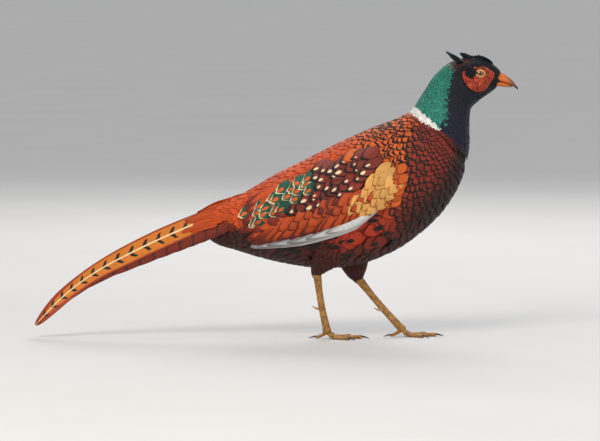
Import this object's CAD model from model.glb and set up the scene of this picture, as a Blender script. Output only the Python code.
"""Skin, feathers, head, legs and studio of a life-size cock pheasant, laid round the packed frame."""

import math

import bmesh
import bpy
import numpy as np
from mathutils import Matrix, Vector


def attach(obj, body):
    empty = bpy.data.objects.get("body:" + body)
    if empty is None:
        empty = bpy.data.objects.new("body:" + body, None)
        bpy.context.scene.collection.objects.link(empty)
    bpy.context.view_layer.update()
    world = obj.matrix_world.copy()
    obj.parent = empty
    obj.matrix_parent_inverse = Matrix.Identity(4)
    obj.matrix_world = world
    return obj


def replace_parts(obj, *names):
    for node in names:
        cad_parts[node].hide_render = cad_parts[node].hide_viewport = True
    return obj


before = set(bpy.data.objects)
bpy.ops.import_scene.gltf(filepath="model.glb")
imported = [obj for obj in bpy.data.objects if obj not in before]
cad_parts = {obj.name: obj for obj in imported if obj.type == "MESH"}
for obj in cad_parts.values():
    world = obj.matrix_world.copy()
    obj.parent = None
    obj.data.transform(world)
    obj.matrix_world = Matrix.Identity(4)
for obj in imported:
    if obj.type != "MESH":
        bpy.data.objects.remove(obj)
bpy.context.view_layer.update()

bl_info = {
    "name": "Common pheasant",
    "version": (1, 0, 0),
    "blender": (4, 5, 0),
    "location": "View3D > Sidebar > Pheasant",
    "description": "Dresses the solids of a cock pheasant with skin, feathers and a studio",
    "category": "Add Mesh",
}

MM = 0.001

# Body outline from the tail root to the bill, in mm: back x and z, underside x and z, half width
BODY_STATIONS = [
    (-91.8, 170.0, -94.5, 145.5, 8),
    (-68.7, 182.2, -75.5, 129.6, 20),
    (-37.4, 196.5, -48.3, 121.0, 34),
    (3.4, 220.5, -14.3, 110.6, 47),
    (44.2, 240.5, 26.5, 101.6, 56),
    (89.1, 263.5, 71.4, 96.6, 61),
    (129.9, 282.0, 123.1, 103.4, 62),
    (162.5, 294.5, 176.1, 126.5, 59),
    (182.9, 304.0, 225.1, 167.3, 52),
    (192.4, 312.8, 253.6, 210.8, 43),
    (199.2, 323.7, 265.9, 254.3, 34.5),
    (208.8, 339.3, 266.6, 289.7, 28.5),
    (219.6, 355.6, 268.6, 311.4, 24.5),
    (232.8, 368.5, 278.8, 322.6, 22),
    (245.2, 376.1, 289.6, 330.5, 20.5),
    (259.2, 380.4, 298.4, 337.0, 19.5),
    (273.1, 381.6, 304.1, 340.5, 18),
    (287.1, 378.8, 308.6, 342.5, 14.5),
    (298.4, 372.4, 311.7, 343.7, 11),
    (307.3, 364.6, 314.2, 345.9, 8),
    (312.4, 359.0, 316.1, 350.7, 4.5),
]
BODY_END = len(BODY_STATIONS) - 1
BILL_STATION = 19.6
# How far ahead feathers grow, by height, at the root of the bill
BILL_LINE = ((342, 346, 349.5, 353, 359.4, 366), (305, 297, 297, 304.5, 309.5, 312))
BELLY_RANGE = (0.2, 10.0)
HEAD_RANGE = (12.6, 19.5)
# Share of the half height past which the side view's outline runs on straight
OUTLINE_TURN = 0.8
# Angle of the body's side, and how many places its girth is measured at
SIDE_ANGLE = 1.57
GIRTH_PLACES = 73
# Voxel of the skin, in mm, and the thighs' width as a share of their depth
SKIN_VOXEL = 2.2
THIGH_FLAT = 0.86

EYE = (281.3, 360.2)
EYE_RADIUS = 5.4
EYE_DEPTH = 3.6
# Reach of the bare face from the eye in mm, every 15 degrees from ahead and upwards first
FACE_REACH = (
    19, 15.5, 12.6, 11, 10.2, 9.6, 9.2, 9.0, 9.4, 12.5, 17.5, 22.5,
    24.5, 24.5, 24, 24.5, 25, 25, 24.5, 23.5, 20.5, 18.5, 18.2, 19.2,
)
FACE_HOLE = 4.6
# The bare skin starts this far off the head and swells by this much, in mm; its feathers point this way
FACE_RIM, FACE_SWELL = 0.1, 1.9
FACE_HEADING = 196
FACE_WEDGE = ((261, 370), (264.5, 359), (271, 356), (276.5, 359), (277, 364), (274, 369))

BILL_BASE, BILL_TIP = 297.0, 333.2
BILL_RIDGE = (367.0, 364.6, 360.6, 355.9, 349.9, 341.0)
BILL_EDGE = (350.8, 349.7, 347.9, 345.9, 342.9, 337.7)
BILL_UNDER = (344.6, 342.8, 341.7, 341.3, 341.6, 342.4)
BILL_HALF = (9.6, 8.5, 6.9, 5.4, 3.8, 1.5)
LOWER_SHARE = 0.8

WING_TOP = ((167, 250), (132.6, 256), (78.2, 238), (23.8, 209), (-14.3, 184))
WING_FOOT = ((164, 192), (132.6, 166), (78.2, 146), (23.8, 131.5), (-10, 126))

# The tail's ridge in side view and half widths along it, in mm, and its roll in degrees at root and tip
TAIL_RIDGE = ((-46, 190), (-98.6, 171.4), (-166.6, 142.8), (-234.6, 106.1), (-289, 65.3), (-329, 23))
TAIL_HALF_WIDTH = (15, 16.5, 16.5, 14.5, 12, 11, 10)
TAIL_ROLL = (34, 60)

# Thighs from the body to the ankle with their half thickness, the joint over the foot, and its heading
LEGS = {
    "right": {
        "side": -1,
        "thigh": ((86, -27, 158), (76, -29, 122), (64, -23, 100), (60, -20, 92.6)),
        "bulk": (20, 23, 12, 7),
        "joint": (74, -16, 10.5),
        "heading": -3,
    },
    "left": {
        "side": 1,
        "thigh": ((102, 27, 160), (107, 28, 124), (113, 24, 92), (116, 21, 80.2)),
        "bulk": (22, 26, 15, 7),
        "joint": (176, 16, 10.5),
        "heading": 3,
    },
}
SHANK_GIRTH = (6.2, 4.7, 4.7, 5.4)
SHANK_FLAT = 0.82
# Heading in degrees, length and radius in mm of each toe
TOES = ((38, 35, 3.1), (2, 47, 3.4), (-34, 37, 3.1), (168, 15, 2.5))
CLAW_LENGTH = 10.5
CLAW_RADIUS = 2.0
CLAW_TIP = 0.35
SPUR_SHARE, SPUR_LENGTH, SPUR_RADIUS = 0.62, 13, 2.9
# Soles are cut level this far over the ground, in mm
SOLE_HEIGHT = 0.02

# The picture's width in pixels, one pixel in mm, and its centre on the bird in metres
PICTURE_WIDTH, PIXEL = 600, 1.36
PICTURE_CENTRE = (0.0374, 0, 0.1598)
SENSOR = 36
# Half the floor's width, and how far it lies below the feet, in metres
FLOOR_REACH, FLOOR_DROP = 60, 0.0002


# Colour and number helpers
def linear(text):
    """Linear RGB from an sRGB hex colour."""
    parts = [int(text[i : i + 2], 16) / 255 for i in (1, 3, 5)]
    return tuple(c / 12.92 if c <= 0.04045 else ((c + 0.055) / 1.055) ** 2.4 for c in parts)


def tint(text):
    return np.array(linear(text))


def ramp(low, high, value):
    """0 below low, 1 above high and smooth between."""
    t = np.clip((np.asarray(value, float) - low) / (high - low), 0, 1)
    return t * t * (3 - 2 * t)


def mix(a, b, f):
    return a + (b - a) * f


def blend(colour, other, mask):
    """Colour rows moved towards another colour by a mask of one value a row."""
    return colour + (np.asarray(other) - colour) * np.asarray(mask)[..., None]


def beyond(x, z, point, heading):
    """Distance in mm past a line of the side view that faces the given heading."""
    turn = math.radians(heading)
    return (x - point[0]) * math.cos(turn) + (z - point[1]) * math.sin(turn)


def inside_outline(x, z, outline):
    """Whether side-view places lie inside a polygon."""
    inside = np.zeros(np.shape(x), bool)
    for (x0, z0), (x1, z1) in zip(outline, outline[1:] + outline[:1]):
        crosses = (z0 > z) != (z1 > z)
        inside ^= crosses & (x < (x1 - x0) * (z - z0) / ((z1 - z0) or 1e-9) + x0)
    return inside


def along(rows, place):
    """A smooth curve through rows of numbers, read at real-valued rows and straight beyond its ends."""
    rows = np.asarray(rows, float)
    if rows.ndim == 1:
        return along(rows[:, None], place)[..., 0]
    last = len(rows) - 1
    place = np.asarray(place, float)
    inside = np.clip(place, 0, last)
    i = np.clip(np.floor(inside).astype(int), 0, last - 1)
    f = (inside - i)[..., None]
    a, b, c, d = (rows[np.clip(i + k, 0, last)] for k in (-1, 0, 1, 2))
    curve = b + 0.5 * f * (c - a + f * (2 * a - 5 * b + 4 * c - d + f * (3 * (b - c) + d - a)))
    past = (place - inside)[..., None]
    return curve + 0.5 * past * np.where(past < 0, rows[1] - rows[0], rows[-1] - rows[-2])


def profile(values, t):
    return along(values, np.asarray(t, float) * (len(values) - 1))


def unit(v):
    return v / np.maximum(np.linalg.norm(v, axis=-1, keepdims=True), 1e-9)


# The body's own surface
def section(s):
    """Centre, upward direction, half height and half width of the body at a station."""
    back_x, back_z, under_x, under_z, half = np.moveaxis(along(BODY_STATIONS, s), -1, 0)
    height = np.hypot(back_x - under_x, back_z - under_z)
    up_x, up_z = (back_x - under_x) / height, (back_z - under_z) / height
    return (back_x + under_x) / 2, (back_z + under_z) / 2, up_x, up_z, height / 2, half


def body_point(s, angle):
    """Angle 0 is the back, a quarter turn the right side and half a turn the belly."""
    x, z, up_x, up_z, rise, half = section(s)
    up = rise * np.cos(angle)
    return np.stack([x + up_x * up, -half * np.sin(angle), z + up_z * up], -1)


def lay(point, s, angle):
    """Point, outward normal and the two tangents of a surface."""
    ds, da = 0.02, 0.01
    p = point(s, angle)
    js = (point(s + ds, angle) - point(s - ds, angle)) / (2 * ds)
    ja = (point(s, angle + da) - point(s, angle - da)) / (2 * da)
    return p, unit(np.cross(ja, js)), js, ja


def find_station(x, z, first, last):
    """The body station of a side-view place, by halving between two stations."""
    low = np.full(np.shape(x), float(first))
    high = np.full(np.shape(x), float(last))
    for _ in range(22):
        middle = (low + high) / 2
        cx, cz, ux, uz, _, _ = section(middle)
        ahead = (x - cx) * uz - (z - cz) * ux > 0
        low, high = np.where(ahead, middle, low), np.where(ahead, high, middle)
    return low


def half_width(x, z, first, last):
    """Half width of the body at a side-view place."""
    s = find_station(x, z, first, last)
    cx, cz, ux, uz, rise, half = section(s)
    q = np.abs(((x - cx) * ux + (z - cz) * uz) / rise)
    turn = math.sqrt(1 - OUTLINE_TURN**2)
    inside = np.sqrt(np.clip(1 - q * q, 0, 1))
    straight = turn - (q - OUTLINE_TURN) * OUTLINE_TURN / turn
    return half * np.where(q < OUTLINE_TURN, inside, straight)


def on_side(x, z, lift, side, reach=BELLY_RANGE):
    """A point lifted off the flank, or the side of the head, by its place in side view."""
    step = 0.5
    here = half_width(x, z, *reach)
    slope_x = (half_width(x + step, z, *reach) - here) / step
    slope_z = (half_width(x, z + step, *reach) - here) / step
    size = np.sqrt(slope_x**2 + slope_z**2 + 1)
    return np.stack([x - slope_x / size * lift, side * (here + lift / size), z - slope_z / size * lift], -1)


# Mesh helpers
def finish_mesh(name, bm, material):
    mesh = bpy.data.meshes.new(name)
    bm.to_mesh(mesh)
    bm.free()
    mesh.materials.append(material)
    mesh.polygons.foreach_set("use_smooth", [True] * len(mesh.polygons))
    return show(name, mesh)


def show(name, mesh):
    made = bpy.data.objects.new(name, mesh)
    bpy.context.collection.objects.link(made)
    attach(made, "root")
    return made


def closed_tube(bm, sides, steps, place):
    """Adds a closed round body. place(t, angle, radial) gives points in mm; radial closes its ends."""
    made = bmesh.ops.create_grid(bm, x_segments=sides, y_segments=steps + 4, size=1)["verts"]
    grid = np.array([v.co[:2] for v in made])
    row = np.rint((grid[:, 1] + 1) / 2 * (steps + 4)).astype(int)
    t = np.clip((row - 2) / steps, 0, 1)
    radial = np.choose(np.minimum(row, steps + 4 - row).clip(0, 2), [0.0, 0.6, 1.0])
    points = place(t, (grid[:, 0] + 1) * math.pi, radial) * MM
    for vertex, point in zip(made, points):
        vertex.co = point
    bmesh.ops.remove_doubles(bm, verts=made, dist=1e-6)
    bmesh.ops.recalc_face_normals(bm, faces=bm.faces)


def spine_frame(points, t, side=(0, 1, 0)):
    """Places on a curve through points, with its sideways and forward directions."""
    points = np.asarray(points, float)
    reach = len(points) - 1
    centre = along(points, t * reach)
    ahead = unit(along(points, t * reach + 0.02) - along(points, t * reach - 0.02))
    front = unit(np.cross(np.asarray(side, float), ahead))
    return centre, np.cross(ahead, front), front


def limb(bm, points, sides, steps, girth, side=(0, 1, 0)):
    """Adds a tapering limb along a curve; girth(t, angle) is its half thickness across and front to back."""

    def place(t, angle, radial):
        centre, across, front = spine_frame(points, t, side)
        wide, deep = girth(t, angle)
        return (
            centre
            + across * (radial * wide * np.sin(angle))[:, None]
            + front * (radial * deep * np.cos(angle))[:, None]
        )

    closed_tube(bm, sides, steps, place)


# Feathers: one thin closed vane is modelled, and its copies are laid as arrays
def vane_pattern(lengthways, across, thickness=0.04):
    """Corner places (along, across, face) and faces of a thin closed vane, its rows closer at the tip."""
    bm = bmesh.new()
    bmesh.ops.create_grid(bm, x_segments=across, y_segments=lengthways, size=1)
    bmesh.ops.solidify(bm, geom=bm.faces[:], thickness=thickness)
    bm.verts.ensure_lookup_table()
    places = np.array([v.co for v in bm.verts])
    # solidify adds the rim in no fixed order, so the faces are sorted to come out alike each run
    faces = sorted([v.index for v in f.verts] for f in bm.faces)
    bm.free()
    top = places[:, 2] > places[:, 2].mean()
    u = (places[:, 1] + 1) / 2
    return 1 - np.clip(1 - u, 0, 1) ** 1.3, np.clip(places[:, 0], -1, 1), top.astype(float), np.array(faces)


class Plumage:
    """Gathers laid vanes, then makes pieces of them that each stay under a triangle limit."""

    LIMIT = 180000

    def __init__(self, lengthways, across):
        self.u, self.v, self.face, self.quads = vane_pattern(lengthways, across)
        self.column = np.rint((self.v + 1) / 2 * across).astype(int)
        self.points, self.colours, self.bake, self.turned = [], [], [], []

    def add(self, points, ground, edge, spot, marks, bake):
        """points is (vanes, corners, 3) in mm; colours are a row a vane, and bake its place on the skin."""
        self.points.append(points)
        opaque = np.ones((len(marks), 1))
        layers = [np.hstack([row, opaque]) for row in (ground, edge, spot)]
        self.colours.append(np.stack(layers + [marks], 1))
        self.bake.append(bake)
        spread = points - points.mean(1, keepdims=True)
        a, b, c, d = (spread[:, self.quads[:, k]] for k in range(4))
        volume = (a * np.cross(b, c)).sum((1, 2)) + (a * np.cross(c, d)).sum((1, 2))
        self.turned.append(volume < 0)

    def ragged(self, rng, count, amount):
        """How far each corner passes the smooth tip, alike on both faces, as a share of the length."""
        columns = rng.normal(0, amount, (count, self.column.max() + 1))
        return columns[:, self.column] * self.u[None] ** 5

    def make(self, name, material, slot, *replaced):
        points = np.concatenate(self.points)
        turned = np.concatenate(self.turned)
        colours = np.concatenate(self.colours)
        bake = np.concatenate(self.bake)
        share = max(1, math.ceil(len(points) * len(self.quads) * 2 / self.LIMIT))
        made = []
        for i, part in enumerate(np.array_split(np.arange(len(points)), share)):
            piece = f"{name}_{i + 1}" if share > 1 else name
            rows = (row[part] for row in (points, turned, colours, bake))
            made.append(self.piece(piece, *rows, material, slot))
        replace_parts(made[0], *replaced)

    def piece(self, name, points, turned, colours, bake, material, slot):
        count, corners = points.shape[:2]
        outward = np.where(turned[:, None, None], self.quads[None, :, ::-1], self.quads[None])
        quads = (outward + np.arange(count)[:, None, None] * corners).reshape(-1, 4)
        mesh = bpy.data.meshes.new(name)
        mesh.vertices.add(count * corners)
        mesh.vertices.foreach_set("co", (points * MM).astype(np.float32).ravel())
        mesh.loops.add(quads.size)
        mesh.loops.foreach_set("vertex_index", quads.ravel().astype(np.int32))
        mesh.polygons.add(len(quads))
        mesh.polygons.foreach_set("loop_start", (np.arange(len(quads)) * 4).astype(np.int32))
        mesh.polygons.foreach_set("use_smooth", np.ones(len(quads), bool))
        mesh.update(calc_edges=True)
        own = np.stack([(self.v + 1) / 2, self.u], -1)
        vane = np.tile(own, (count, 1))[quads.ravel()]
        mesh.uv_layers.new(name="Vane").data.foreach_set("uv", vane.astype(np.float32).ravel())
        patch = (bake[:, None, :] + (own - 0.5)[None] * 0.003).reshape(-1, 2)[quads.ravel()]
        mesh.uv_layers.new(name="OFBake").data.foreach_set("uv", patch.astype(np.float32).ravel())
        for layer, key in enumerate(("ground", "edge", "spot", "marks")):
            data = mesh.attributes.new(key, "FLOAT_COLOR", "POINT").data
            data.foreach_set("color", np.repeat(colours[:, layer], corners, 0).astype(np.float32).ravel())
        mesh.materials.append(material)
        mesh.validate()
        return show(name, mesh)


def bake_place(s, angle):
    """Where a root lies on the unwrap of the skin: along it and round it."""
    return np.stack([0.02 + 0.96 * s / BODY_END, 0.02 + 0.96 * (np.mod(angle / (2 * math.pi) + 0.5, 1))], -1)


# Markings, shared by the skin and the coat: ground and edge colours by place on the body
COLLAR_LINE = (199, 312)
COLLAR_HEADING = 47.2
COLLAR_LENGTH, COLLAR_DEPTH = 42, 10.0
GREEN_EDGE = ((284, 301, 316, 330, 341, 352, 367), (226, 235.8, 234.5, 235.8, 238.7, 242.8, 246.3))


def plumage(x, z, s, q, wander=0.0):
    """Ground and edge colours by place on the body, and how far each place belongs to each part.

    x and z are in mm, s is the body station, and q is 1 on the back and -1 on the belly.
    wander frays the borders.
    """
    colour = bpy.context.scene.pheasant_colours
    keys = [key for key in colour.bl_rna.properties.keys() if key.startswith("c_")]
    hue = {key[2:]: np.array(getattr(colour, key)[:3]) for key in keys}
    shape = np.shape(x) + (3,)
    # back and rump are orange; the mantle behind the collar has black edges
    ground = np.broadcast_to(hue["rump"], shape).copy()
    edge = np.broadcast_to(hue["rump_edge"], shape).copy()
    mantle = ramp(96, 128, x + wander)
    ground = blend(ground, hue["mantle"], mantle)
    edge = blend(edge, hue["dark_edge"], mantle)
    # breast: maroon, darker to the front and below
    breast = ramp(-9, 9, beyond(x, z, (184, 253), -17) + wander * 3)
    ground = blend(ground, hue["breast"], breast)
    edge = blend(edge, hue["dark_edge"], breast)
    front = ramp(-0.15, -0.75, q) * ramp(5.6, 7.4, s)
    ground = blend(ground, hue["breast_low"], front)
    # flank below the wing, belly and vent
    low = ramp(0.05, -0.3, q) * ramp(7.4, 6.7, s)
    ground = blend(ground, hue["flank"], low)
    edge = blend(edge, hue["flank_edge"], low)
    belly = np.maximum(ramp(-0.55, -0.85, q), ramp(0.0, -0.35, q) * ramp(92, 60, x)) * ramp(8.4, 7.0, s)
    ground = blend(ground, hue["belly"], belly)
    edge = blend(edge, hue["dark_edge"], belly)
    # neck and head
    above = beyond(x, z, COLLAR_LINE, COLLAR_HEADING)
    forward = beyond(x, z, COLLAR_LINE, COLLAR_HEADING - 90)
    soft = 0.8 + 7 * ramp(45, 85, forward)
    neck = ramp(-soft, soft, above + wander * soft * 0.4)
    ground = blend(ground, hue["throat"], neck)
    edge = blend(edge, hue["throat_edge"], neck)
    purple = neck * ramp(12.8, 11.0, s) * ramp(0.2, -0.3, q)
    edge = blend(edge, hue["neck_blue"], purple)
    green = neck * ramp(1.5, -1.5, x - np.interp(z, *GREEN_EDGE) + wander * 2.2)
    green = green * ramp(1, -1, beyond(x, z, (236, 380), 38))
    ground = blend(ground, hue["neck_green"], green)
    edge = blend(edge, hue["neck_teal"], green)
    bronze = neck * ramp(13.4, 13.9, s) * ramp(15.9, 15.3, s) * ramp(0.55, 0.75, q)
    ground = blend(ground, hue["crown"], bronze)
    # white half collar round the nape, coming to a point on the side of the neck
    depth = COLLAR_DEPTH * (1 - (np.clip(forward, 0, COLLAR_LENGTH) / COLLAR_LENGTH) ** 2)
    collar = ramp(0.6, -0.6, above) * ramp(-0.6, 0.6, above + depth) * ramp(0.6, 1.6, depth)
    ground = blend(ground, hue["white"], collar)
    edge = blend(edge, hue["white"], collar)
    parts = {"mantle": mantle, "breast": breast, "low": low, "belly": belly, "neck": neck, "green": green}
    return ground, edge, parts


def edge_band(parts):
    """How wide the dark edge of each feather is, as a share of the vane."""
    band = mix(0.12, 0.26, parts["mantle"])
    band = mix(band, 0.3, parts["breast"])
    band = mix(band, 0.16, parts["low"])
    band = mix(band, 0.3, parts["belly"])
    return mix(mix(band, 0.4, parts["neck"]), 0.22, parts["green"])


def colour_property(label, note, text):
    return bpy.props.FloatVectorProperty(
        name=label, description=note, subtype="COLOR", size=3, default=linear(text)
    )


COLOURS = (
    ("rump", "Rump", "Back and rump", "#C4480C"),
    ("rump_edge", "Rump edge", "Edges of the rump feathers", "#A4360A"),
    ("mantle", "Mantle", "Upper back behind the collar", "#D05A16"),
    ("breast", "Breast", "Sides of the breast", "#842610"),
    ("breast_low", "Fore breast", "Front and underside of the breast", "#2A0F0A"),
    ("flank", "Flank", "Flanks below the wing", "#B03210"),
    ("flank_edge", "Flank edge", "Edges of the flank feathers", "#6E1B0D"),
    ("belly", "Belly", "Belly and thighs", "#4C170D"),
    ("dark_edge", "Dark edge", "Black edges of the body feathers", "#170806"),
    ("throat", "Throat", "Throat and cheeks", "#07090D"),
    ("throat_edge", "Throat gloss", "Gloss on the throat feathers", "#111822"),
    ("neck_blue", "Neck blue", "Purple-blue gloss of the fore neck", "#15162F"),
    ("neck_green", "Neck green", "Glossy green of the hind neck", "#0C5E4C"),
    ("neck_teal", "Neck teal", "Pale gloss on the green feathers", "#3FA08E"),
    ("crown", "Crown", "Bronze patch of the hind crown", "#6A3418"),
    ("white", "Collar", "White half collar", "#E4E2DA"),
)


class PheasantColours(bpy.types.PropertyGroup):
    """Colours of the body plumage."""

    __annotations__ = {"c_" + key: colour_property(label, note, text) for key, label, note, text in COLOURS}


class PheasantSizes(bpy.types.PropertyGroup):
    """Sizes of the coat and the studio."""

    body_vane: bpy.props.FloatProperty(
        name="Body feather", description="Length of a breast feather", unit="LENGTH", default=0.021
    )
    neck_vane: bpy.props.FloatProperty(
        name="Neck feather", description="Length of a neck feather", unit="LENGTH", default=0.0105
    )
    head_vane: bpy.props.FloatProperty(
        name="Head feather", description="Length of a head feather", unit="LENGTH", default=0.006
    )
    coat_depth: bpy.props.FloatProperty(
        name="Coat depth", description="How deep the skin lies in the coat", unit="LENGTH", default=0.0016
    )
    camera_distance: bpy.props.FloatProperty(
        name="Camera distance", description="From the camera to the bird", unit="LENGTH", default=6.0
    )
    camera_height: bpy.props.FloatProperty(
        name="Camera angle", description="Camera angle above level", subtype="ANGLE", default=math.radians(4)
    )


# Materials
def feed(made, sources):
    """Fills a node's inputs, in order or by the keys of a dict.

    A source is a value, an output, or a node, which stands for its first output in use.
    """
    in_use = [socket for socket in made.inputs if socket.enabled]
    pairs = sources.items() if isinstance(sources, dict) else enumerate(sources)
    for key, source in pairs:
        socket = in_use[key] if isinstance(key, int) else made.inputs[key]
        if isinstance(source, bpy.types.Node):
            source = next(output for output in source.outputs if output.enabled)
        if isinstance(source, bpy.types.NodeSocket):
            made.id_data.links.new(source, socket)
        else:
            socket.default_value = (*source[:3], 1) if socket.type == "RGBA" else source


def node(tree, kind, sources=(), **settings):
    """Adds a node with its settings and links."""
    made = tree.nodes.new("ShaderNode" + kind)
    for key, value in settings.items():
        setattr(made, key, value)
    feed(made, sources)
    return made


def new_material(name, roughness, metallic, ior, **sockets):
    material = bpy.data.materials.new(name)
    material.use_nodes = True
    shader = material.node_tree.nodes["Principled BSDF"]
    feed(shader, {"Roughness": roughness, "Metallic": metallic, "IOR": ior})
    feed(shader, {key.replace("_", " "): value for key, value in sockets.items()})
    return material, material.node_tree, shader


def scale_for(size):
    """Scale of a noise or cell pattern whose marks are a real size in mm across, to two figures."""
    return float(f"{1 / (size * MM):.2g}")


def feather_material(name, roughness, metallic, barbs=26.0, bars=False, sides=0.72, **sockets):
    """Feather vane of keratin barbs: matt with a silky gloss, fine slanting lines and a shaft.

    barbs is the number of lines on a vane. Real barbs lie 0.3 mm apart, too fine to show, so they are drawn
    about 0.8 mm apart on the body, 1.2 mm on the neck and 2.3 mm on wing and tail.
    """
    material, tree, shader = new_material(name, roughness, metallic, 1.54, **sockets)
    own = node(tree, "UVMap", uv_map="Vane")
    split = node(tree, "SeparateXYZ", (own,))
    across = node(tree, "Math", (split.outputs[0], 2.0, -1.0), operation="MULTIPLY_ADD")
    across = node(tree, "Math", (across,), operation="ABSOLUTE")
    lengthways = split.outputs[1]
    ground, edge, spot, marks = (
        node(tree, "Attribute", attribute_name=key) for key in ("ground", "edge", "spot", "marks")
    )
    # the marks of a vane: width of its edge, size of its spot, number of its bars and a random share
    channels = node(tree, "SeparateColor", (marks,))
    band, spot_size, bar_count = channels.outputs
    random = marks.outputs["Alpha"]
    # distance from the middle of the tip, 1 at its rim and less at the sides
    reach = node(tree, "Math", (lengthways, 2.0, -1.0), operation="MULTIPLY_ADD")
    reach = node(tree, "Math", (reach, 0.0), operation="MAXIMUM")
    beside = node(tree, "Math", (across, sides), operation="MULTIPLY")
    beside = node(tree, "Math", (beside, 2.0), operation="POWER")
    rim = node(tree, "Math", (reach, 2.0), operation="POWER")
    rim = node(tree, "Math", (beside, rim), operation="ADD")
    rim = node(tree, "Math", (rim,), operation="SQRT")
    place = node(tree, "TexCoord").outputs["Object"]
    # soft breakup about 4 mm across, so that bands are never ruled lines
    cloud = node(tree, "TexNoise", {"Vector": place, "Scale": scale_for(4.2), "Detail": 3.0})
    wander = node(tree, "Math", (cloud, 0.22, -0.11), operation="MULTIPLY_ADD")
    rim = node(tree, "Math", (rim, wander), operation="ADD")
    inner = node(tree, "Math", (1.0, band), operation="SUBTRACT")
    low = node(tree, "Math", (inner, 0.1), operation="SUBTRACT")
    high = node(tree, "Math", (inner, 0.06), operation="ADD")
    edge_mask = node(tree, "MapRange", (rim, low, high), interpolation_type="SMOOTHSTEP")
    banded = node(tree, "MapRange", (band, 0.0, 0.04), interpolation_type="SMOOTHSTEP")
    edge_mask = node(tree, "Math", (edge_mask, banded), operation="MULTIPLY")
    colour = node(tree, "Mix", (edge_mask, ground, edge), data_type="RGBA")
    # pale or dark spot in the middle of the tip
    far = node(tree, "Math", (lengthways, 0.74), operation="SUBTRACT")
    far = node(tree, "Math", (far, 0.5), operation="DIVIDE")
    far = node(tree, "Math", (far, 2.0), operation="POWER")
    wide = node(tree, "Math", (across, 2.0), operation="POWER")
    far = node(tree, "Math", (wide, far), operation="ADD")
    far = node(tree, "Math", (far,), operation="SQRT")
    far = node(tree, "Math", (far, wander), operation="ADD")
    full = node(tree, "Math", (spot_size, 0.12), operation="SUBTRACT")
    spot_mask = node(tree, "MapRange", (far, spot_size, full), interpolation_type="SMOOTHSTEP")
    spotted = node(tree, "MapRange", (spot_size, 0.0, 0.1), interpolation_type="SMOOTHSTEP")
    spot_mask = node(tree, "Math", (spot_mask, spotted), operation="MULTIPLY")
    colour = node(tree, "Mix", (spot_mask, colour, spot), data_type="RGBA")
    if bars:
        # paired black bars that slope back from the shaft and stop short of the rim
        sloped = node(tree, "Math", (across, 0.03, lengthways), operation="MULTIPLY_ADD")
        sloped = node(tree, "Math", (cloud, 0.012, sloped), operation="MULTIPLY_ADD")
        wave = node(tree, "Math", (sloped, bar_count), operation="MULTIPLY")
        wave = node(tree, "Math", (wave, 2 * math.pi), operation="MULTIPLY")
        wave = node(tree, "Math", (wave,), operation="SINE")
        # each bar is stoutest beside the shaft; the lower feathers' bars reach their rims
        narrow = node(tree, "Math", (across, 0.5, 0.3), operation="MULTIPLY_ADD")
        narrow = node(tree, "Math", (random, 0.12, narrow), operation="MULTIPLY_ADD")
        full = node(tree, "Math", (narrow, 0.16), operation="ADD")
        bar = node(tree, "MapRange", (wave, narrow, full), interpolation_type="SMOOTHSTEP")
        bar_end = node(tree, "Math", (band, 2.4, 0.32), operation="MULTIPLY_ADD")
        full = node(tree, "Math", (bar_end, 0.16), operation="SUBTRACT")
        within = node(tree, "MapRange", (across, bar_end, full), interpolation_type="SMOOTHSTEP")
        bar = node(tree, "Math", (bar, within), operation="MULTIPLY")
        barred = node(tree, "MapRange", (bar_count, 0.0, 1.0), interpolation_type="SMOOTHSTEP")
        bar = node(tree, "Math", (bar, barred), operation="MULTIPLY")
        colour = node(tree, "Mix", (bar, colour, linear("#120C0A")), data_type="RGBA")
        shaft = node(tree, "MapRange", (across, 0.1, 0.05), interpolation_type="SMOOTHSTEP")
        shaft = node(tree, "Math", (shaft, barred), operation="MULTIPLY")
        colour = node(tree, "Mix", (shaft, colour, spot), data_type="RGBA")
    # barbs slant from the shaft to the tip
    slant = node(tree, "Math", (across, -0.45, lengthways), operation="MULTIPLY_ADD")
    barb = node(tree, "Math", (slant, barbs * 2 * math.pi), operation="MULTIPLY")
    barb = node(tree, "Math", (barb,), operation="SINE")
    shade = node(tree, "Math", (random, 0.36, 0.8), operation="MULTIPLY_ADD")
    shade = node(tree, "Math", (barb, 0.1, shade), operation="MULTIPLY_ADD")
    mottle = node(tree, "Math", (cloud, 0.5, 0.75), operation="MULTIPLY_ADD")
    shade = node(tree, "Math", (shade, mottle), operation="MULTIPLY")
    bright = node(tree, "HueSaturation", {"Value": shade, "Color": colour})
    quill = node(tree, "MapRange", (across, 0.12, 0.02), interpolation_type="SMOOTHSTEP")
    height = node(tree, "Math", (barb, 0.25), operation="MULTIPLY")
    height = node(tree, "Math", (height, quill), operation="ADD")
    bump = node(tree, "Bump", {"Strength": 0.6, "Distance": 0.4 * MM, "Height": height})
    feed(shader, {"Base Color": bright, "Normal": bump})
    return material


def skin_material():
    """Bird skin under down: matt, in the colours of the feathers above it, with tufts 1.1 mm across."""
    material, tree, shader = new_material("downy_skin", 0.85, 0.0, 1.45)
    ground = node(tree, "Attribute", attribute_name="ground")
    place = node(tree, "TexCoord").outputs["Object"]
    down = node(tree, "TexNoise", {"Vector": place, "Scale": scale_for(1.11), "Detail": 4.0})
    shade = node(tree, "Math", (down, 0.6, 0.35), operation="MULTIPLY_ADD")
    bright = node(tree, "HueSaturation", {"Value": shade, "Color": ground})
    bump = node(tree, "Bump", {"Strength": 0.5, "Distance": 0.6 * MM, "Height": down})
    feed(shader, {"Base Color": bright, "Normal": bump})
    return material


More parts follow.
